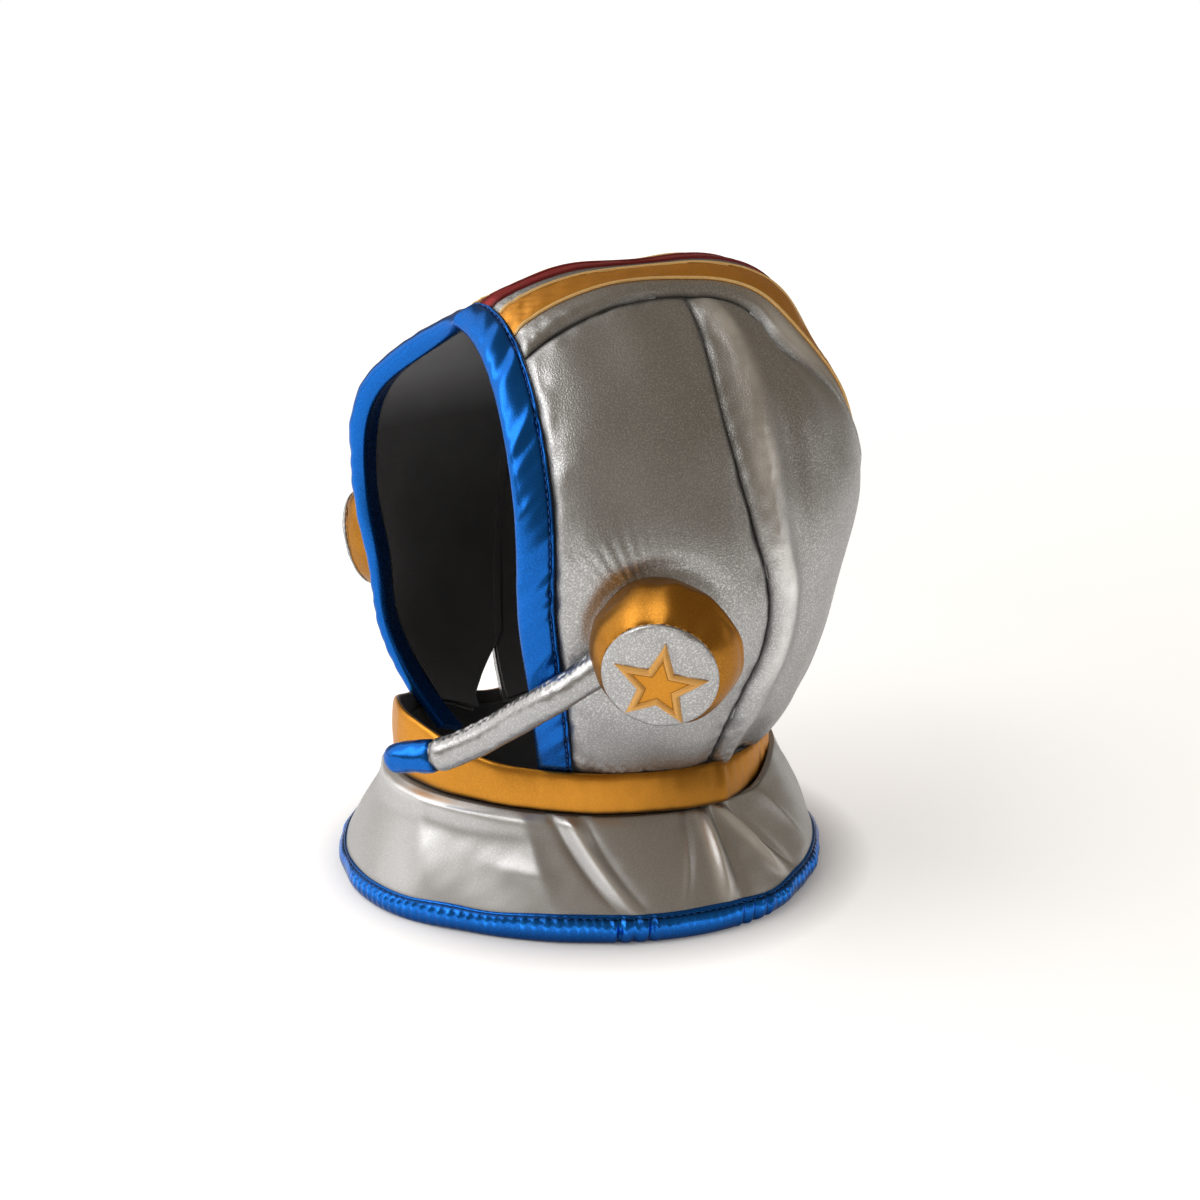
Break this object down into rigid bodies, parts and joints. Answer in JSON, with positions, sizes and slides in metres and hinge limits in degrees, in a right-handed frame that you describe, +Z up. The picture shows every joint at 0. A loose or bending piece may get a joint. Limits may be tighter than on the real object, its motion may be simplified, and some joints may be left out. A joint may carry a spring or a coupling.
{
  "type": "astronaut costume hood",
  "caption": "Soft padded astronaut costume hood with a bound face opening, striped crown, neck band, flared collar, stuffed ear cups and a microphone arm.",
  "frame": {"origin": "on the floor under the middle of the whole object's box", "axes": "+Z up, -Y is the face side, +X is the wearer's left"},
  "size_m": [0.284, 0.2558, 0.2742],
  "materials": {
    "silver_foil": "foil-coated padded cloth, fine grain",
    "gold_foil": "foil-coated cloth, satin gold",
    "blue_foil": "foil-coated cloth, metallic blue",
    "red_foil": "foil-coated cloth, dark red",
    "lining_cloth": "matt dark grey lining"
  },
  "bodies": {
    "root": {"crown_panel": "silver_foil", "front_side_left_panel": "silver_foil", "front_side_right_panel": "silver_foil", "back_side_left_panel": "silver_foil", "back_side_right_panel": "silver_foil", "collar": "silver_foil", "ear_face_left": "silver_foil", "ear_face_right": "silver_foil", "mic_arm": "silver_foil", "crown_lining": "lining_cloth", "front_side_left_lining": "lining_cloth", "front_side_right_lining": "lining_cloth", "back_side_left_lining": "lining_cloth", "back_side_right_lining": "lining_cloth", "stripe_gold_left": "gold_foil", "stripe_gold_right": "gold_foil", "neck_band": "gold_foil", "ear_gusset_left": "gold_foil", "ear_gusset_right": "gold_foil", "ear_star_left": "gold_foil", "ear_star_right": "gold_foil", "face_binding": "blue_foil", "hem_binding": "blue_foil", "mic_tip": "blue_foil", "stripe_red": "red_foil"}
  },
  "joints": []
}
